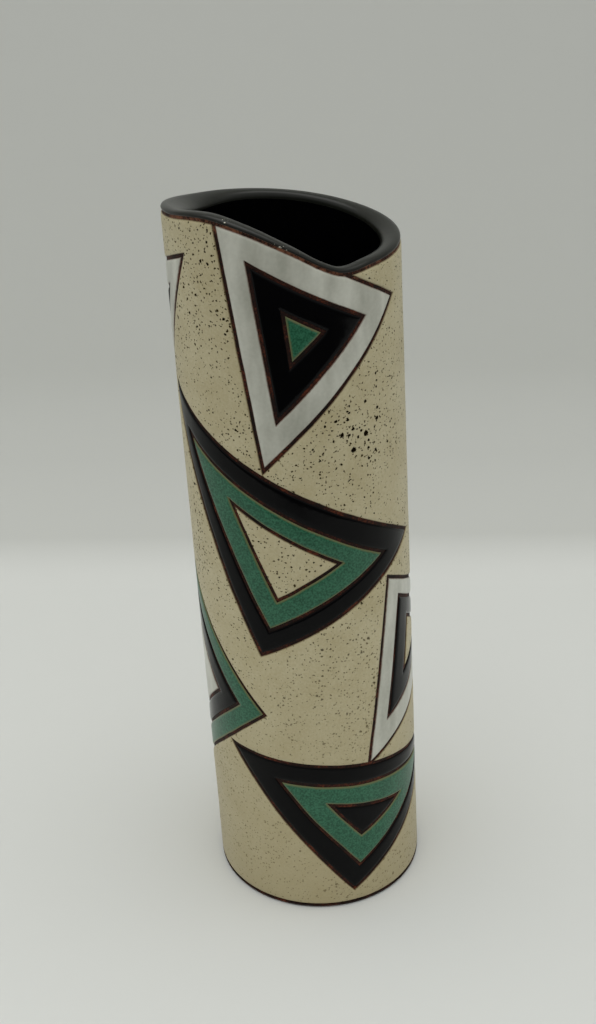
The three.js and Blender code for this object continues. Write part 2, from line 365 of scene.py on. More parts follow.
@dataclass(frozen=True)
class StonewareClay:
    """Bare, iron-rich stoneware, wiped with oxide in the lines and fired unglazed.

    To the eye it is dry and near black in the lines, with red-brown and toasted grains, and it is
    paler along the lip, where the oxide was wiped away.
    """

    name: str = "iron_rich_stoneware"
    tones: tuple[tuple[float, str], ...] = ((0.38, "#0e0502"), (0.52, "#2b1108"), (0.68, "#6a321c"))
    wiped: str = "#84563f"
    wiped_by_tone: Span = (0.46, 0.58, 0.05, 0.85)
    lip_reach: float = 3.5
    grain: float = 0.7
    patch: float = 5.0
    grit: float = 0.6
    grit_depth: float = 0.15
    roughness: float = 0.68
    specular: float = 0.2

    def make(self) -> bpy.types.Material:
        """Builds the clay's material."""
        g = Graph(bpy.data.materials.new(self.name))
        at = g.at()
        patch = g.noise(at, self.patch, 3.0).outputs["Fac"]
        grain = g.noise(at, self.grain, 4.0).outputs["Fac"]
        tone = g.math("MULTIPLY", g.math("ADD", patch, grain), 0.5)
        near_lip = g.spread(g.edge(), self.lip_reach * 0.5, self.lip_reach, 1.0, 0.0)
        rubbed = g.math("MULTIPLY", near_lip, g.spread(tone, *self.wiped_by_tone))
        colour = g.blend(rubbed, g.ramp(tone, self.tones), linear(self.wiped))
        bump = g.add("Bump", {"Strength": self.grit, "Distance": self.grit_depth * MM, "Height": grain})
        shader = g.add(
            "BsdfPrincipled",
            {
                "Base Color": colour,
                "Roughness": self.roughness,
                "Specular IOR Level": self.specular,
                "Normal": bump.outputs["Normal"],
            },
        )
        return g.surface(shader)


@dataclass(frozen=True)
class Glaze:
    """A fired glaze: its colours, how it thins at its edge, its gloss and the ripple of its surface.

    Sizes and widths are in millimetres.
    """

    name: str
    body: str
    mottle: str
    thin: str
    thin_width: float
    roughness: float
    specular: float
    mottle_size: float
    grain_size: float
    ripple_size: float
    ripple_depth: float = 0.03
    mottle_sharp: float = 0.2
    grain_share: float = 0.3
    coat: float = 0.0
    coat_roughness: float = 0.08
    streak: float = 1.0
    # A darker tone towards the table, painted shade of the contact shadow; empty for none.
    foot_painted_shade: str = ""
    specks: tuple[Speckle, ...] = ()

    def make(self) -> bpy.types.Material:
        """Builds the glaze's material."""
        g = Graph(bpy.data.materials.new(self.name))
        at = g.at()
        brushed = g.add("Mapping", {"Vector": at, "Scale": (1.0, 1.0, 1 / self.streak)}).outputs["Vector"]
        cloud = g.noise(brushed, self.mottle_size, 3.0).outputs["Fac"]
        cloud = g.spread(cloud, 0.5 - self.mottle_sharp, 0.5 + self.mottle_sharp)
        grain = g.noise(at, self.grain_size).outputs["Fac"]
        mixed = {0: self.grain_share, 2: cloud, 3: g.spread(grain, *GRAIN_SPAN)}
        tone = g.add("Mix", mixed, data_type="FLOAT").outputs[0]
        colour = g.blend(tone, linear(self.body), linear(self.mottle))
        height = g.noise(at, self.ripple_size).outputs["Fac"]
        gloss = self.specular
        up = g.height(at)
        # Painted shade: the colour darkens towards the table, where the contact shadow falls.
        if self.foot_painted_shade:
            colour = g.blend(g.spread(up, *FOOT_PAINTED_SHADE_BY_HEIGHT), colour, linear(self.foot_painted_shade))
        if self.specks:
            fray = {0: g.noise(at, SPECK_RAGGED).outputs["Color"], 1: (SPECK_FRAY,) * 3}
            moved = g.add("VectorMath", fray, operation="MULTIPLY").outputs[0]
            frayed = g.add("VectorMath", {0: at, 1: moved}, operation="ADD").outputs[0]
            crowd = g.spread(g.noise(at, SPECK_CROWD_SIZE, 1.0).outputs["Fac"], *SPECK_CROWD)
            foot = g.spread(up, *SPECKS_BY_HEIGHT)
        # Dark specks are iron spots and pits; the lip's pale specks are painted glints, highlights laid into
        # the colour.
        for speck in self.specks:
            spot = self.spotted(g, at, frayed, speck, crowd)
            colour = g.blend(g.math("MULTIPLY", spot, foot), colour, linear(speck.colour))
            height = g.math("SUBTRACT", height, spot)
            gloss = g.math("MULTIPLY", gloss, g.math("SUBTRACT", 1.0, spot))
        colour = self.thinned(g, grain, colour)
        bump = g.add("Bump", {"Strength": 1.0, "Distance": self.ripple_depth * MM, "Height": height})
        shader = g.add(
            "BsdfPrincipled",
            {
                "Base Color": colour,
                "Roughness": self.roughness,
                "Specular IOR Level": gloss,
                "Coat Weight": self.coat,
                "Coat Roughness": self.coat_roughness,
                "Normal": bump.outputs["Normal"],
            },
        )
        return g.surface(shader)

    def spotted(self, g: Graph, at: Socket, frayed: Socket, speck: Speckle, crowd: Socket) -> Socket:
        """Scatters one kind of speck, 1 inside and 0 outside.

        The frayed coordinates make the outlines ragged, and crowd is how large the specks grow.
        """
        cells = g.add("TexVoronoi", {"Vector": frayed, "Scale": 1 / (speck.cell * MM), "Randomness": 1.0})
        odds = g.add("SeparateColor", {"Color": cells.outputs["Color"]})
        reach = g.math("MULTIPLY", g.math("MULTIPLY", odds.outputs[0], speck.reach), crowd)
        if speck.around:
            centre = tuple(c * MM for c in speck.around)
            away = g.add("VectorMath", {0: at, 1: centre}, operation="DISTANCE").outputs["Value"]
            reach = g.math("MULTIPLY", reach, g.spread(away, 0.0, speck.within * MM, 1.3, 0.0))
        picked = g.math("LESS_THAN", odds.outputs[1], speck.share)
        inside = g.math("SUBTRACT", reach, cells.outputs["Distance"])
        return g.math("MULTIPLY", g.spread(inside, 0.0, SPECK_SOFT), picked)

    def thinned(self, g: Graph, grain: Socket, colour: Socket) -> Socket:
        """Lets the clay show through where the glaze runs thin, along an edge that the grain frays."""
        frayed = g.math("ADD", g.math("MULTIPLY", grain, self.thin_width), g.edge())
        thick = g.spread(frayed, self.thin_width * 0.6, self.thin_width * 1.6)
        return g.blend(thick, linear(self.thin), colour)


GLAZES: dict[Slot, Glaze] = {
    # Iron-saturated glaze, dipped thick: near black and wet-looking, breaking to rust at its edge.
    Slot.BLACK: Glaze(
        name="black_gloss_glaze",
        body="#020203",
        mottle="#050506",
        thin="#1d0d06",
        thin_width=0.14,
        roughness=0.14,
        specular=0.1,
        mottle_size=9.0,
        grain_size=0.8,
        ripple_size=9.0,
    ),
    # Tin-opacified glaze, brushed on in two coats: even, milky, with grey streaks where it is thinner.
    Slot.WHITE: Glaze(
        name="opaque_white_glaze",
        body="#d4d4c8",
        mottle="#acac9f",
        thin="#7a6658",
        thin_width=0.35,
        roughness=0.3,
        specular=0.4,
        coat=0.2,
        mottle_size=7.0,
        grain_size=1.2,
        grain_share=0.12,
        ripple_size=8.0,
        streak=3.0,
    ),
    # Copper glaze over a coarse frit: dark sea green full of paler grains, olive where it thins.
    Slot.GREEN: Glaze(
        name="copper_green_glaze",
        body="#0a442d",
        mottle="#357255",
        thin="#6f7048",
        thin_width=0.7,
        roughness=0.3,
        specular=0.35,
        mottle_size=7.0,
        mottle_sharp=0.3,
        grain_size=0.7,
        grain_share=0.75,
        ripple_size=2.0,
    ),
    # Oatmeal satin glaze over speckled clay: warm cream, peppered with iron spots and open pinholes.
    Slot.CREAM: Glaze(
        name="speckled_oatmeal_glaze",
        body="#cbc19e",
        mottle="#b7aa82",
        thin="#6f5c3b",
        thin_width=0.35,
        roughness=0.42,
        specular=0.5,
        mottle_size=12.0,
        mottle_sharp=0.25,
        grain_size=0.9,
        ripple_size=1.1,
        ripple_depth=0.16,
        # Painted shade: darker and browner towards the table.
        foot_painted_shade="#a29570",
        specks=(
            Speckle(1.0, 0.38, 0.9, "#3a2f15"),
            Speckle(2.3, 0.25, 0.7, "#1e1607"),
            Speckle(1.9, 0.42, 0.5, "#171004", around=(18.0, -33.0, 199.0), within=34.0),
            Speckle(4.2, 0.3, 0.5, "#120c03", around=(18.0, -33.0, 196.0), within=26.0),
        ),
    ),
}


# The same black where it ran down off the lip: thinner and satin, a soft dark grey all round, with a few
# pale specks in front that are painted glints, highlights along the edge laid into the colour.
LIP_GLAZE = replace(
    GLAZES[Slot.BLACK],
    name="satin_black_lip_glaze",
    body="#161713",
    mottle="#1f201b",
    thin="#3c1a0c",
    thin_width=0.28,
    roughness=0.28,
    specular=0.24,
    ripple_size=5.0,
    specks=(
        # Painted glints: pale specks at two places on the lip's front edge stand in for highlights.
        Speckle(0.9, 0.5, 0.5, "#d5d2c2", around=(-27.0, -36.0, 269.0), within=6.5),
        Speckle(0.9, 0.5, 0.5, "#d5d2c2", around=(-9.0, -40.0, 263.0), within=6.0),
    ),
)


class Finishes:
    """Makes each material once and hands it out."""

    def __init__(self) -> None:
        """Starts with no material made."""
        self._made: dict[str, bpy.types.Material] = {}

    def of(self, slot: Slot, kind: Glaze | None = None) -> bpy.types.Material:
        """Gives a slot's material, or that of a variant of its glaze, made on first use."""
        maker = kind or GLAZES.get(slot, StonewareClay())
        if maker.name not in self._made:
            self._made[maker.name] = maker.make()
        return self._made[maker.name]


# ----------------------------------------
# Pieces
# ----------------------------------------
# Edges sharper than this stay sharp, and points nearer than this, in millimetres, are joined.
SHARP_ANGLE = math.radians(50)
WELD = 1e-4


def smooth_object(bm: bmesh.types.BMesh, name: str, material: bpy.types.Material) -> bpy.types.Object:
    """Turns a mesh into a smooth-shaded object in the scene. The mesh is freed."""
    mesh = bpy.data.meshes.new(name)
    for face in bm.faces:
        face.smooth = True
    bm.to_mesh(mesh)
    bm.free()
    mesh.materials.append(material)
    made = bpy.data.objects.new(name, mesh)
    bpy.context.scene.collection.objects.link(made)
    return made


def finish_piece(
    bm: bmesh.types.BMesh, name: str, slot: Slot, finishes: Finishes, node: str, kind: Glaze | None = None
) -> bpy.types.Object:
    """Turns a mesh in metres into a piece that stands for its CAD node, and frees the mesh.

    A kind is a variant of the slot's glaze.
    """
    piece = smooth_object(bm, name, finishes.of(slot, kind))
    piece.data.set_sharp_from_angle(angle=SHARP_ANGLE)
    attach(piece, "root")
    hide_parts(node)
    log.info("%s: %d faces, %s", name, len(piece.data.polygons), slot.value)
    return piece


@dataclass(frozen=True)
class RoundProfile:
    """An outline in the plane of the body's axis, turned round the body.

    Each point is (radius, height, share of the lip's swell it takes, distance from the glaze's edge).
    """

    points: tuple[tuple[float, float, float, float], ...]
    closed: bool
    steps: int = 180

    def turned(self, form: BodyForm) -> bmesh.types.BMesh:
        """Spins the outline and shapes it on the body, in metres and facing out."""
        bm = bmesh.new()
        share = bm.verts.layers.float.new("share")
        edge = bm.verts.layers.float.new(EDGE)
        chain = []
        for radius, z, swell, reach in self.points:
            vert = bm.verts.new((0.0, -radius, z))
            vert[share] = swell
            vert[edge] = reach
            chain.append(vert)
        links = list(zip(chain, chain[1:] + chain[:1] if self.closed else chain[1:]))
        edges = [bm.edges.new(pair) for pair in links]
        bmesh.ops.spin(
            bm,
            geom=chain + edges,
            cent=(0, 0, 0),
            axis=(0, 0, 1),
            dvec=(0, 0, 0),
            angle=math.tau,
            steps=self.steps,
            use_merge=True,
            use_normal_flip=False,
            use_duplicate=False,
        )
        bmesh.ops.remove_doubles(bm, verts=bm.verts, dist=WELD)
        bmesh.ops.recalc_face_normals(bm, faces=bm.faces)
        for vert in bm.verts:
            x, y, z = vert.co
            bearing = math.degrees(math.atan2(x, -y)) if x or y else 0.0
            swell = form.swell(bearing) * vert[share]
            height = form.lifted(bearing, z) - swell * form.swell_dip
            vert.co = form.place(bearing, math.hypot(x, y) - swell, height)
        return bm


@dataclass(frozen=True)
class LipCurve:
    """The lip's outline over its crest, proud of the CAD clay by an offset."""

    form: BodyForm
    offset: float
    steps: int = 14

    def quarter(self, centre: Point, half: Point, inside: bool) -> list[Triple]:
        """A quarter of a squared ellipse, from its foot to its crest or back down inside.

        Each point is (radius, height, share of the swell), and only the inner quarter swells.
        """
        points = []
        for i in range(self.steps + 1):
            t = math.pi / 2 * i / self.steps
            along = math.sin(t) if inside else math.cos(t)
            up = math.cos(t) if inside else math.sin(t)
            along, up = (max(0.0, part) ** (2 / self.form.lip_square) for part in (along, up))
            reach = -along if inside else along
            points.append((centre[0] + half[0] * reach, centre[1] + half[1] * up, along if inside else 0.0))
        return points

    def points(self, start_z: float) -> list[Triple]:
        """The outline from outside at start_z, over the crest, to the bottom of the lip inside."""
        form = self.form
        crest = form.mouth_radius - form.skin_depth - form.crest_inset
        rise = form.lip_rise + self.offset
        outside = self.quarter((crest, form.height), (form.crest_inset + self.offset, rise), inside=False)
        depth = form.lip_thickness - form.crest_inset + self.offset
        inside = self.quarter((crest, form.lip_floor), (depth, form.lip_fall + self.offset), inside=True)
        above = [point for point in outside if point[1] > start_z]
        return [(above[0][0], start_z, 0.0)] + above + inside[1:]


@dataclass
class ClayBody:
    """The clay: a base disc with a rounded edge, and the wall that stands on it."""

    form: BodyForm
    finishes: Finishes
    seat: float = 0.3
    tuck: float = 0.05
    rows: int = 60
    round_steps: int = 8
    blend_steps: int = 12
    under_rings: Triple = (12.0, 24.0, 32.0)
    upper_rings: Point = (30.0, 15.0)

    def build_base(self) -> bpy.types.Object:
        """Turns the base, flat below and rounded at its edge."""
        form = self.form
        shelf = form.foot_line - form.base_gap
        steps = [form.foot_round * (i / self.round_steps) ** 2 for i in range(self.round_steps + 1)]
        points = [(r, 0.0) for r in (0.0, *self.under_rings)]
        points += [(form.glaze_radius(z) - form.foot_inset(z) - self.tuck, z) for z in (*steps, shelf)]
        points += [(form.glaze_radius(z) - form.glaze_depth, z) for z in (shelf, form.base_thickness)]
        points += [(r, form.base_thickness) for r in (*self.upper_rings, 0.0)]
        profile = RoundProfile(tuple((r, z, 0.0, FAR) for r, z in points), closed=False)
        return finish_piece(profile.turned(form), "base", Slot.CLAY, self.finishes, "clay_base")

    def build_wall(self) -> bpy.types.Object:
        """Turns the wall, from its seat on the base to the lip and back down inside."""
        form = self.form
        seat = form.base_thickness + self.seat
        lip = LipCurve(form, form.skin_depth - form.glaze_depth).points(form.height)
        outside = [
            (form.glaze_radius(z) - form.glaze_depth, z, 0.0)
            for z in (seat + (form.height - seat) * i / self.rows for i in range(self.rows))
        ]
        steps = self.blend_steps
        levels = [form.lip_floor - form.lip_blend * i / steps for i in range(1, steps + 1)]
        levels += [form.height - form.lift_depth, seat]
        inside = [(form.bore(z)[0], z, form.bore(z)[1]) for z in levels]
        points = tuple((r, z, s, max(0.0, form.height - z)) for r, z, s in outside + lip + inside)
        mesh = RoundProfile(points, closed=True).turned(form)
        return finish_piece(mesh, "wall", Slot.CLAY, self.finishes, "clay_wall")


@dataclass
class BlackLiner:
    """The black glaze poured inside and brushed over the lip."""

    form: BodyForm
    finishes: Finishes
    shoulder: float = 1.3
    start_share: float = 0.3
    back: float = 0.55
    thinnest: float = 0.05
    tail: Triple = (0.4, 0.3, 0.9)
    lip_steps: int = 18
    lip_turns: int = 220
    corner: float = 6.0
    thickness: float = 0.6
    corner_steps: int = 8
    wall_steps: int = 24
    blend_steps: int = 14

    def build_lip(self) -> bpy.types.Object:
        """Turns the glaze over the lip, rounded down to the bare line at its outer edge."""
        form = self.form
        start = form.height + form.bare_line * self.start_share
        face = LipCurve(form, form.skin_depth, self.lip_steps).points(start)
        under = LipCurve(form, self.back, self.lip_steps).points(start)
        run = 0.0
        points = []
        for i, (r, z, s) in enumerate(face):
            if i:
                run += math.dist(face[i][:2], face[i - 1][:2])
            fill = math.sqrt(1 - (1 - min(1.0, run / self.shoulder)) ** 2)
            thin = (1 - fill) * (form.skin_depth - self.back - self.thinnest)
            points.append((r - thin, z, s, run))
        end_r, end_z, _ = face[-1]
        out, down, swell = self.tail
        points.append((end_r + out, end_z - down, swell, FAR))
        points += [(r, z, s, 0.0) for r, z, s in reversed(under)]
        mesh = RoundProfile(tuple(points), closed=True, steps=self.lip_turns).turned(form)
        return finish_piece(mesh, "lip_glaze", Slot.BLACK, self.finishes, "rim_glaze", kind=LIP_GLAZE)

    def build_inside(self) -> bpy.types.Object:
        """Turns the glaze on the inner wall and the floor, with a rounded corner between them."""
        form = self.form
        top = form.base_thickness + form.skin_depth
        bore = form.bore(top)[0] - form.skin_depth
        points = [(0.0, top, 0.0), (bore - self.corner, top, 0.0)]
        for i in range(1, self.corner_steps + 1):
            t = math.pi / 2 * i / self.corner_steps
            r = bore - self.corner + self.corner * math.sin(t)
            points.append((r, top + self.corner - self.corner * math.cos(t), 0.0))
        rise = form.lip_floor - form.lip_blend - top
        levels = [top + rise * i / self.wall_steps for i in range(2, self.wall_steps + 1)]
        steps = self.blend_steps
        levels += [form.lip_floor - form.lip_blend * (1 - i / steps) for i in range(1, steps + 1)]
        points += [(form.bore(z)[0] - form.skin_depth, z, form.bore(z)[1]) for z in levels]
        outer = [(r + (self.thickness if r else 0.0), z - self.thickness, s) for r, z, s in reversed(points)]
        whole = tuple((r, z, s, FAR) for r, z, s in points + outer)
        mesh = RoundProfile(whole, closed=False).turned(form)
        return finish_piece(mesh, "inside_glaze", Slot.BLACK, self.finishes, "inner_glaze")


# ----------------------------------------
# Glaze fields, worked flat
# ----------------------------------------
def offset_triangle(triangle: Sequence[Point], distance: float) -> list[Point]:
    """Moves a triangle's sides in by a distance, or out where it is negative."""
    a, b, c = (Vector(p) for p in triangle)
    sides = ((b - c).length, (c - a).length, (a - b).length)
    centre = (a * sides[0] + b * sides[1] + c * sides[2]) / sum(sides)
    double_area = abs((b - a).x * (c - a).y - (b - a).y * (c - a).x)
    scale = 1 - distance * sum(sides) / double_area
    return [tuple(centre + (p - centre) * scale) for p in (a, b, c)]


def inside_triangle(triangle: Sequence[Point], x: float, y: float) -> bool:
    """Tells whether a point of the sheet lies in a triangle."""
    signs = []
    for (x0, y0), (x1, y1) in around(triangle):
        signs.append((x1 - x0) * (y - y0) - (y1 - y0) * (x - x0) > 0)
    return all(signs) or not any(signs)


def edge_distance(points: np.ndarray, triangles: Sequence[Sequence[Point]]) -> np.ndarray:
    """Distance from each point, one row each, to the nearest side of any triangle."""
    nearest = np.full(len(points), np.inf)
    for triangle in triangles:
        for start, end in around(triangle):
            a, b = np.array(start), np.array(end)
            t = np.clip(((points - a) @ (b - a)) / ((b - a) @ (b - a)), 0, 1)
            nearest = np.minimum(nearest, np.linalg.norm(points - a - t[:, None] * (b - a), axis=1))
    return nearest


@dataclass(frozen=True)
class Motif:
    """Three triangles, one inside the next, and the glazes of the two frames and the centre.

    A corner is (bearing, height), on the middle of the bare line.
    """

    name: str
    glazes: tuple[Slot, Slot, Slot]
    triangles: tuple[Triangle, Triangle, Triangle]

    def flat(self, tier: int, form: BodyForm, lap: int = 0) -> list[Point]:
        """A triangle's corners in millimetres on the flat sheet, moved by whole laps of the body."""
        return [((bearing + 360 * lap) * form.per_degree, z) for bearing, z in self.triangles[tier]]


MOTIFS: tuple[Motif, ...] = (
    Motif("shoulder_front", (Slot.WHITE, Slot.BLACK, Slot.GREEN), (
        ((-31.8, 276.7), (63.5, 241), (-14.5, 187.5)),
        ((-15.3, 258.2), (40.5, 238), (-6, 205.5)),
        ((-0.3, 242.8), (18.5, 235.8), (2.2, 225.1)),
    )),
    Motif("shoulder_left", (Slot.WHITE, Slot.BLACK, Slot.CREAM), (
        ((-148, 235), (-53, 256.8), (-101, 190)),
        ((-128.7, 227), (-74.5, 243), (-102, 205)),
        ((-114, 224), (-94, 230.5), (-103.5, 215)),
    )),
    Motif("shoulder_back", (Slot.BLACK, Slot.WHITE, Slot.GREEN), (
        ((92, 248), (196, 214), (112, 158)),
        ((110, 231.5), (172, 211), (121.5, 178)),
        ((125, 217.5), (151, 209), (130, 195)),
    )),
    Motif("waist_front", (Slot.BLACK, Slot.GREEN, Slot.CREAM), (
        ((-81, 210), (74, 151), (-23, 114.5)),
        ((-61.5, 193), (48, 150), (-17.5, 125.5)),
        ((-33.5, 173.5), (21, 151.5), (-12, 138)),
    )),
    Motif("waist_right", (Slot.WHITE, Slot.BLACK, Slot.CREAM), (
        ((51, 139), (148, 105), (32.3, 61)),
        ((61, 128), (122, 104.5), (47.5, 79.2)),
        ((72, 115.5), (100, 104.5), (65, 95)),
    )),
    Motif("waist_left", (Slot.GREEN, Slot.BLACK, Slot.WHITE), (
        ((-100, 151), (-24, 88), (-104, 39)),
        ((-92, 132.5), (-41, 89), (-95, 56)),
        ((-85, 112), (-57, 89.5), (-87, 71)),
    )),
    Motif("waist_back", (Slot.WHITE, Slot.GREEN, Slot.BLACK), (
        ((165, 186), (246, 152), (203, 92)),
        ((184, 168.5), (231, 149), (206, 114.5)),
        ((200, 154.5), (218.5, 146.5), (208.5, 132.5)),
    )),
    Motif("foot_front", (Slot.BLACK, Slot.GREEN, Slot.BLACK), (
        ((-47.3, 70.2), (115, 52.2), (20.1, 7.5)),
        ((-18.6, 58.4), (90, 49.3), (24, 18.4)),
        ((9, 48.3), (53.7, 42.3), (26, 32.7)),
    )),
    Motif("foot_back", (Slot.GREEN, Slot.BLACK, Slot.WHITE), (
        ((124, 84), (238, 72), (186, 10)),
        ((149, 72.5), (217, 65), (186, 28)),
        ((171, 62), (198.5, 59), (186, 44)),
    )),
)
TIERS = ("outer", "middle", "centre")


@dataclass
class FlatSheet:
    """A flat sheet of glaze, cut to its outline, raised to its thickness and bent round the body.

    X is the way round the body and Y the height, both in millimetres. The sheet's top edge follows the
    lip's line.
    """

    form: BodyForm
    cell: float = 1.7
    shoulder: float = 1.5
    creases: tuple[float, ...] = (0.1, 0.28, 0.55, 0.95, 1.5)
    snap: float = 0.005
    weld: float = 0.02
    shortest: float = 0.01
    seam: float = 0.004
    thinnest: float = 0.12
    under: float = 0.02
    bm: bmesh.types.BMesh = field(default_factory=bmesh.new)

    def lay(self, left: float, right: float, low: float, high: float) -> None:
        """Lays the grid, creases it along its top and bottom, and lifts it with the lip's wave."""
        columns = max(2, round((right - left) / self.cell))
        rows = max(2, round((high - low) / self.cell))
        middle = Matrix.Translation(((left + right) / 2, (low + high) / 2, 0))
        size = Matrix.Diagonal((right - left, high - low, 1, 1))
        bmesh.ops.create_grid(self.bm, x_segments=columns, y_segments=rows, size=0.5, matrix=middle @ size)
        for crease in self.creases:
            for level in (high - crease, low + crease):
                self.cut((0, level), (0, 1), self.near_row(level))
        for vert in self.bm.verts:
            vert.co.y = self.form.lifted(vert.co.x / self.form.per_degree, vert.co.y)

    def near_row(self, level: float) -> list[bmesh.types.BMFace]:
        """The faces that a level row crosses."""
        return [f for f in self.bm.faces if abs(f.calc_center_median().y - level) < self.cell * 1.5]

    def cut(
        self, at: Point, normal: Point, faces: list[bmesh.types.BMFace], clear: bool = False
    ) -> list[bmesh.types.BMFace]:
        """Cuts faces along a straight line.

        Args:
            at: A point on the line.
            normal: The line's normal.
            faces: The faces to cut.
            clear: Whether what lies on the normal's side is cleared away.

        Returns:
            The faces that are left of those given, with the ones that the cut made.
        """
        edges = {e for f in faces for e in f.edges}
        verts = {v for f in faces for v in f.verts}
        left = bmesh.ops.bisect_plane(
            self.bm,
            geom=list(verts) + list(edges) + faces,
            dist=self.snap,
            plane_co=(at[0], at[1], 0),
            plane_no=(normal[0], normal[1], 0),
            clear_outer=clear,
        )["geom"]
        return [g for g in left if isinstance(g, bmesh.types.BMFace)]

    def sides(self, triangle: Sequence[Point]) -> list[tuple[Vector, Vector, Vector]]:
        """Each side of a triangle as its start, its end and its outward normal."""
        centre = sum((Vector(p) for p in triangle), Vector((0, 0))) / 3
        found = []
        for start, end in around(triangle):
            a, b = Vector(start), Vector(end)
            normal = Vector((b.y - a.y, a.x - b.x)).normalized()
            if normal.dot(centre - a) > 0:
                normal.negate()
            found.append((a, b, normal))
        return found

    def trim_to(self, triangle: Sequence[Point]) -> None:
        """Cuts the sheet down to a triangle and creases it along the sides."""
        for a, _, normal in self.sides(triangle):
            self.cut(tuple(a), tuple(normal), list(self.bm.faces), clear=True)
        for a, _, normal in self.sides(triangle):
            for crease in self.creases:
                self.cut(tuple(a - normal * crease), tuple(normal), list(self.bm.faces))

    def cut_out(self, triangle: Sequence[Point]) -> None:
        """Cuts a triangle out of the sheet and creases the sheet along its sides."""
        reach = self.creases[-1] + 2 * self.cell
        for a, b, normal in self.sides(triangle):
            along = (b - a).normalized()
            length = (b - a).length
            strip = []
            for face in self.bm.faces:
                to = face.calc_center_median().xy - a
                if abs(to.dot(normal)) < reach and -reach < to.dot(along) < length + reach:
                    strip.append(face)
            for crease in (0.0,) + self.creases:
                strip = self.cut(tuple(a + normal * crease), tuple(normal), strip)
        gone = [f for f in self.bm.faces if inside_triangle(triangle, *f.calc_center_median().xy)]
        bmesh.ops.delete(self.bm, geom=gone, context="FACES")

    def raise_and_bend(
        self, edges: Sequence[Sequence[Point]], closed_round: bool = False
    ) -> bmesh.types.BMesh:
        """Gives the sheet its thickness, rounds its edges down to the clay and bends it round the body.

        Args:
            edges: The triangles whose sides are edges of the sheet.
            closed_round: Whether the sheet's two ends meet.

        Returns:
            The mesh, in metres.
        """
        form, bm = self.form, self.bm
        bmesh.ops.remove_doubles(bm, verts=bm.verts, dist=self.weld)
        bmesh.ops.dissolve_degenerate(bm, edges=bm.edges, dist=self.shortest)
        loose = [v for v in bm.verts if not v.link_faces]
        bmesh.ops.delete(bm, geom=loose, context="VERTS")
        low = min(v.co.y for v in bm.verts)
        edge = bm.verts.layers.float.new(EDGE)
        made = bmesh.ops.extrude_face_region(bm, geom=list(bm.faces), use_keep_orig=True)["geom"]
        top = [g for g in made if isinstance(g, bmesh.types.BMVert)]
        bmesh.ops.translate(bm, verts=top, vec=(0, 0, 1))
        bmesh.ops.recalc_face_normals(bm, faces=bm.faces)
        if closed_round:
            end = 180 * form.per_degree - self.shortest
            ends = [f for f in bm.faces if all(abs(v.co.x) > end for v in f.verts)]
            bmesh.ops.delete(bm, geom=ends, context="FACES")
        verts = list(bm.verts)
        flat = np.array([v.co.xy[:] for v in verts])
        reach = edge_distance(flat, edges)
        lip = np.array([form.lip_line(x / form.per_degree) - form.bare_line / 2 for x in flat[:, 0]])
        reach = np.minimum(reach, np.maximum(0, lip - flat[:, 1]))
        if closed_round:
            reach = np.minimum(reach, flat[:, 1] - low)
        for vert, distance in zip(verts, reach):
            x, z, side = vert.co
            vert[edge] = distance
            share = 1 - min(1.0, distance / self.shoulder)
            full = self.thinnest + (1 - self.thinnest) * math.sqrt(1 - share * share)
            lift = form.glaze_depth * full if side > 0.5 else self.under
            radius = form.glaze_radius(z) - form.glaze_depth - form.foot_inset(z) + lift
            bearing = x / form.per_degree
            vert.co = form.place(bearing, radius, form.bowed(bearing, z))
        if closed_round:
            bmesh.ops.remove_doubles(bm, verts=bm.verts, dist=self.seam * MM)
        return bm


@dataclass
class GroundGlaze:
    """The speckled cream glaze over the whole outside, with every motif left out of it."""

    form: BodyForm
    finishes: Finishes

    def build(self) -> bpy.types.Object:
        """Builds the one connected field."""
        form = self.form
        sheet = FlatSheet(form)
        half = 180 * form.per_degree
        sheet.lay(-half, half, form.foot_line, form.height - form.bare_line / 2)
        gaps = []
        for motif in MOTIFS:
            for lap in (-1, 0, 1):
                flat = offset_triangle(motif.flat(0, form, lap), -form.bare_line / 2)
                if max(x for x, _ in flat) > -half and min(x for x, _ in flat) < half:
                    gaps.append(flat)
        for gap in gaps:
            sheet.cut_out(gap)
        mesh = sheet.raise_and_bend(gaps, closed_round=True)
        return finish_piece(mesh, "ground", Slot.CREAM, self.finishes, "ground_glaze")


@dataclass
class MotifGlazes:
    """The three glazes of one motif."""

    form: BodyForm
    finishes: Finishes
    motif: Motif
    spare: float = 30.0
    margin: float = 1.0

    def build(self, tier: int) -> bpy.types.Object:
        """Builds one glaze of the motif: 0 the outer frame, 1 the middle frame, 2 the centre."""
        form, motif = self.form, self.motif
        outline = offset_triangle(motif.flat(tier, form), form.bare_line / 2)
        sheet = FlatSheet(form)
        xs = [x for x, _ in outline]
        zs = [z for _, z in outline]
        low = min(zs) - 2 * sheet.cell
        high = min(form.height - form.bare_line / 2, max(zs) + form.lip_line(0) - form.height + self.spare)
        sheet.lay(min(xs) - self.margin, max(xs) + self.margin, low, high)
        sheet.trim_to(outline)
        edges = [outline]
        if tier < 2:
            hole = offset_triangle(motif.flat(tier + 1, form), -form.bare_line / 2)
            sheet.cut_out(hole)
            edges.append(hole)
        name = f"{motif.name}_{TIERS[tier]}"
        mesh = sheet.raise_and_bend(edges)
        return finish_piece(mesh, name, motif.glazes[tier], self.finishes, f"{name}_glaze")


# ----------------------------------------
# Studio
# ----------------------------------------
# Tones of the paper with painted shade, by height as a share of the curve's, and its sheen.
PAPER_TONES_AND_SHADE = ((0.0, "#dedfdc"), (0.1, "#c9cac6"), (0.45, "#cacbc7"), (1.0, "#d4d5d1"))
PAPER_ROUGHNESS = 0.85
PAPER_SPECULAR = 0.2


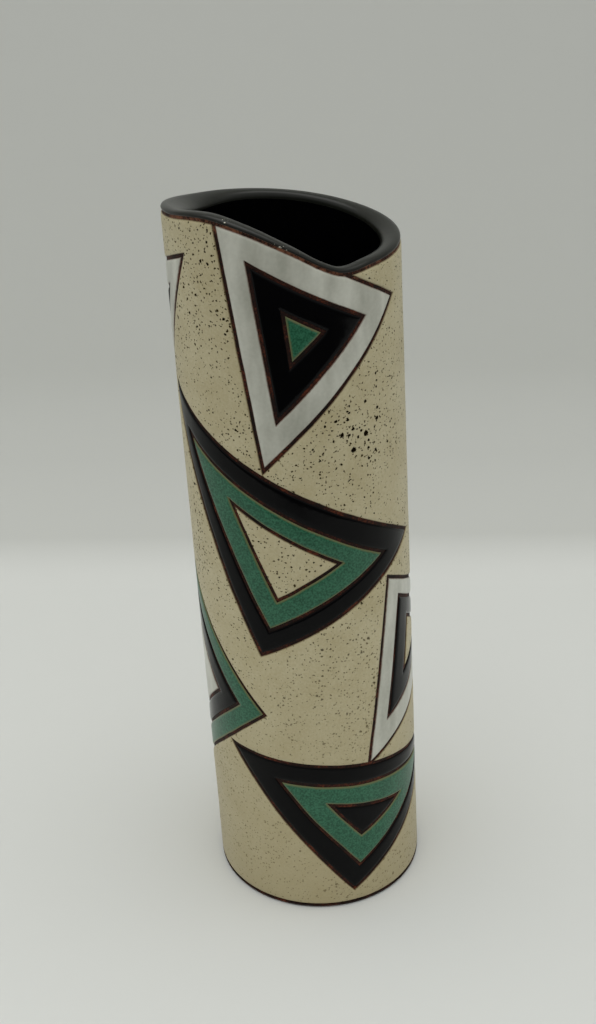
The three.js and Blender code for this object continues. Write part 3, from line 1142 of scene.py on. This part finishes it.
@dataclass(frozen=True)
class Studio:
    """A pale paper sweep, soft lights and the camera."""

    floor_front: float = -380.0
    sweep_start: float = 205.0
    sweep_radius: float = 90.0
    sweep_steps: int = 24
    wall_top: float = 900.0
    half_width: float = 1200.0
    horizon: float = 0.35
    zenith: float = 1.05
    below: float = 0.08
    backdrop: str = "#aaaba6"
    lens: float = 52.0
    sensor: float = 36.0
    nearest: float = 0.01
    lamp_at: Triple = (-40, 100, 1000)
    lamp_aim: Triple = (-20, 60, 0)
    lamp_size: Point = (900, 700)
    lamp_power: float = 3.0
    lamp_hue: str = "#fffefb"
    room_hue: str = "#fbfdfb"
    dusk: Point = (-0.1, 0.02)
    camera_at: Triple = (0.0, -474.8, 402.7)
    pitch: float = 0.4853
    yaw: float = -0.0141
    roll: float = -0.0175

    def build_sweep(self) -> bpy.types.Object:
        """Makes the floor and the backdrop as one curved sheet of paper."""
        bm = bmesh.new()
        line = [(self.floor_front, 0.0), (self.sweep_start, 0.0)]
        for i in range(1, self.sweep_steps + 1):
            t = math.pi / 2 * i / self.sweep_steps
            y = self.sweep_start + self.sweep_radius * math.sin(t)
            line.append((y, self.sweep_radius * (1 - math.cos(t))))
        line.append((self.sweep_start + self.sweep_radius, self.wall_top))
        chain = [bm.verts.new((-self.half_width * MM, y * MM, z * MM)) for y, z in line]
        edges = [bm.edges.new(pair) for pair in zip(chain, chain[1:])]
        moved = bmesh.ops.extrude_edge_only(bm, edges=edges)["geom"]
        shift = [v for v in moved if isinstance(v, bmesh.types.BMVert)]
        bmesh.ops.translate(bm, verts=shift, vec=(2 * self.half_width * MM, 0, 0))
        bm.normal_update()
        if sum(face.normal.z for face in bm.faces) < 0:
            bmesh.ops.reverse_faces(bm, faces=bm.faces)
        sweep = smooth_object(bm, "paper_sweep", self.paper())
        return sweep

    def paper(self) -> bpy.types.Material:
        """Matt pale grey paper, painted a little darker as it curves up as shade, and clear to the eye from
        behind.
        """
        g = Graph(bpy.data.materials.new("background_paper"))
        height = g.spread(g.height(g.at()), 0.0, self.sweep_radius * MM)
        look = {
            # Painted shade: the colour dips where the floor turns up and stays darker up the backdrop.
            "Base Color": g.ramp(height, PAPER_TONES_AND_SHADE),
            "Roughness": PAPER_ROUGHNESS,
            "Specular IOR Level": PAPER_SPECULAR,
        }
        front = g.add("BsdfPrincipled", look)
        back = g.add("BsdfTransparent")
        side = g.add("NewGeometry").outputs["Backfacing"]
        return g.surface(g.add("MixShader", {0: side, 1: front.outputs[0], 2: back.outputs[0]}))

    def hang_lamp(self) -> None:
        """Hangs one large, rectangular, soft light over the vase."""
        at, aim = Vector(self.lamp_at), Vector(self.lamp_aim)
        lamp = bpy.data.lights.new("overhead", "AREA")
        lamp.shape = "RECTANGLE"
        lamp.size, lamp.size_y = self.lamp_size[0] * MM, self.lamp_size[1] * MM
        lamp.energy = self.lamp_power
        lamp.color = linear(self.lamp_hue)[:3]
        light = bpy.data.objects.new("overhead", lamp)
        light.location = at * MM
        light.rotation_euler = (aim - at).to_track_quat("-Z", "Y").to_euler()
        light.visible_camera = False
        bpy.context.scene.collection.objects.link(light)

    def light(self) -> None:
        """Fills the room with soft light, strongest overhead, and hangs the lamp."""
        scene = bpy.context.scene
        scene.world = bpy.data.worlds.new("room")
        g = Graph(scene.world)
        rise = g.add("SeparateXYZ", {0: g.add("TexCoord").outputs["Generated"]}).outputs["Z"]
        dome = g.spread(rise, 0.0, 1.0, self.horizon, self.zenith)
        dim = g.spread(rise, *self.dusk, self.below / self.horizon, 1.0)
        strength = g.math("MULTIPLY", dome, dim)
        room = g.add("Background", {"Color": linear(self.room_hue), "Strength": strength})
        plain = g.add("Background", {"Color": linear(self.backdrop)})
        seen = g.add("LightPath").outputs["Is Camera Ray"]
        sky = g.add("MixShader", {0: seen, 1: room.outputs[0], 2: plain.outputs[0]})
        g.add("OutputWorld", {"Surface": sky.outputs[0]})
        self.hang_lamp()
        scene.view_settings.view_transform = "Standard"
        scene.view_settings.look = "None"

    def aim_camera(self) -> None:
        """Places the camera, looking down at the vase from its front."""
        flat = math.cos(self.pitch)
        forward = Vector((math.sin(self.yaw) * flat, math.cos(self.yaw) * flat, -math.sin(self.pitch)))
        right = Vector((math.cos(self.yaw), -math.sin(self.yaw), 0))
        up = right.cross(forward)
        across = math.cos(self.roll) * right + math.sin(self.roll) * up
        above = math.cos(self.roll) * up - math.sin(self.roll) * right
        data = bpy.data.cameras.new("camera")
        data.lens = self.lens
        data.sensor_width = self.sensor
        data.clip_start = self.nearest
        camera = bpy.data.objects.new("camera", data)
        turned = Matrix((across, above, -forward)).transposed().to_4x4()
        camera.matrix_world = Matrix.Translation(Vector(self.camera_at) * MM) @ turned
        bpy.context.scene.collection.objects.link(camera)
        bpy.context.scene.camera = camera


def main() -> None:
    """Builds the camera and the studio, then every piece of the vase, and notes the sizes."""
    logging.basicConfig(level=logging.INFO, format="%(name)s: %(message)s")
    studio = Studio()
    studio.aim_camera()
    studio.build_sweep()
    studio.light()
    form = BodyForm.from_frame()
    finishes = Finishes()
    clay = ClayBody(form, finishes)
    clay.build_base()
    clay.build_wall()
    liner = BlackLiner(form, finishes)
    liner.build_inside()
    liner.build_lip()
    GroundGlaze(form, finishes).build()
    for motif in MOTIFS:
        glazes = MotifGlazes(form, finishes, motif)
        for tier in range(len(TIERS)):
            glazes.build(tier)


if __name__ == "__main__":
    main()
